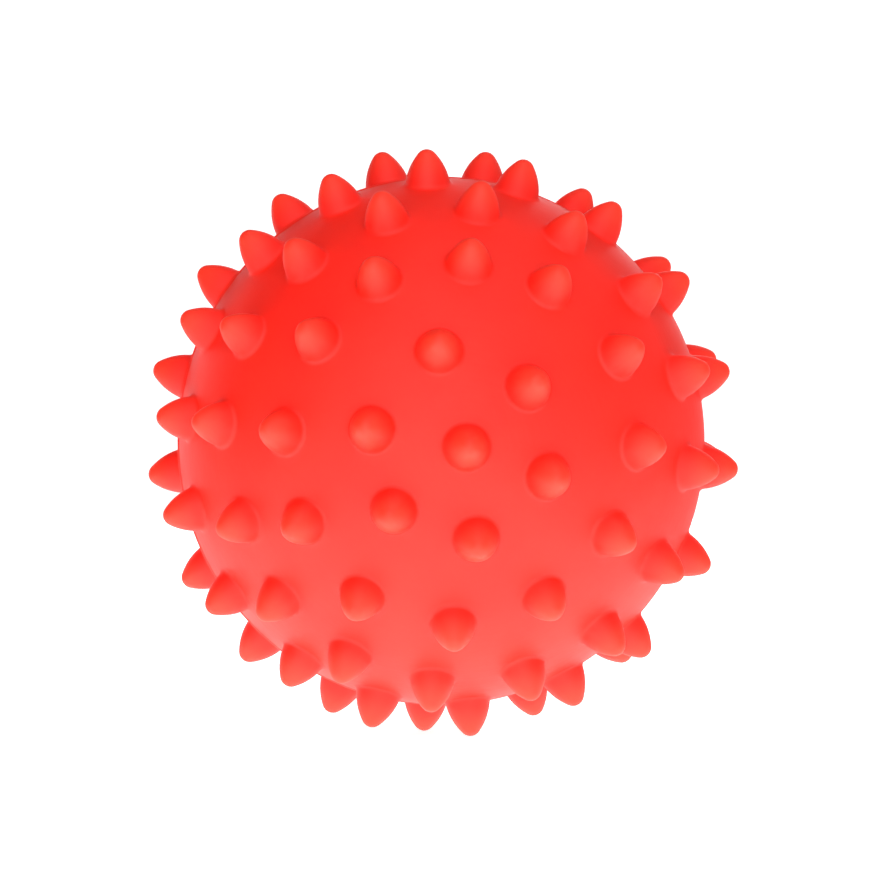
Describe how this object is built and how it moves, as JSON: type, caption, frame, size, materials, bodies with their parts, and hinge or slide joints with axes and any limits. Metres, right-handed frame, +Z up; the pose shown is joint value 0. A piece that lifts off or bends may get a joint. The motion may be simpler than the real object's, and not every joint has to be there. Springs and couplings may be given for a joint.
{
  "type": "sensory ball",
  "caption": "Soft hollow ball covered in blunt moulded spikes, with a push-in air plug in a flat land at its back.",
  "frame": {"origin": "centre of the ball", "axes": "+Z up as in the picture, -Y through the front pole spike that the rows of spikes run round, +Y out of the air hole"},
  "size_m": [0.0882, 0.0871, 0.0882],
  "materials": {
    "soft_vinyl": "satin moulded soft vinyl",
    "socket_vinyl": "satin moulded vinyl",
    "plug_vinyl": "satin moulded vinyl"
  },
  "bodies": {
    "ball": {"spiked_skin": "soft_vinyl", "valve_socket": "socket_vinyl"},
    "plug": {"air_plug": "plug_vinyl"}
  },
  "joints": [
    {"name": "plug_pull", "type": "slide", "parent": "ball", "child": "plug", "axis": [0, 1, 0], "range_m": [0, 0.018]}
  ]
}
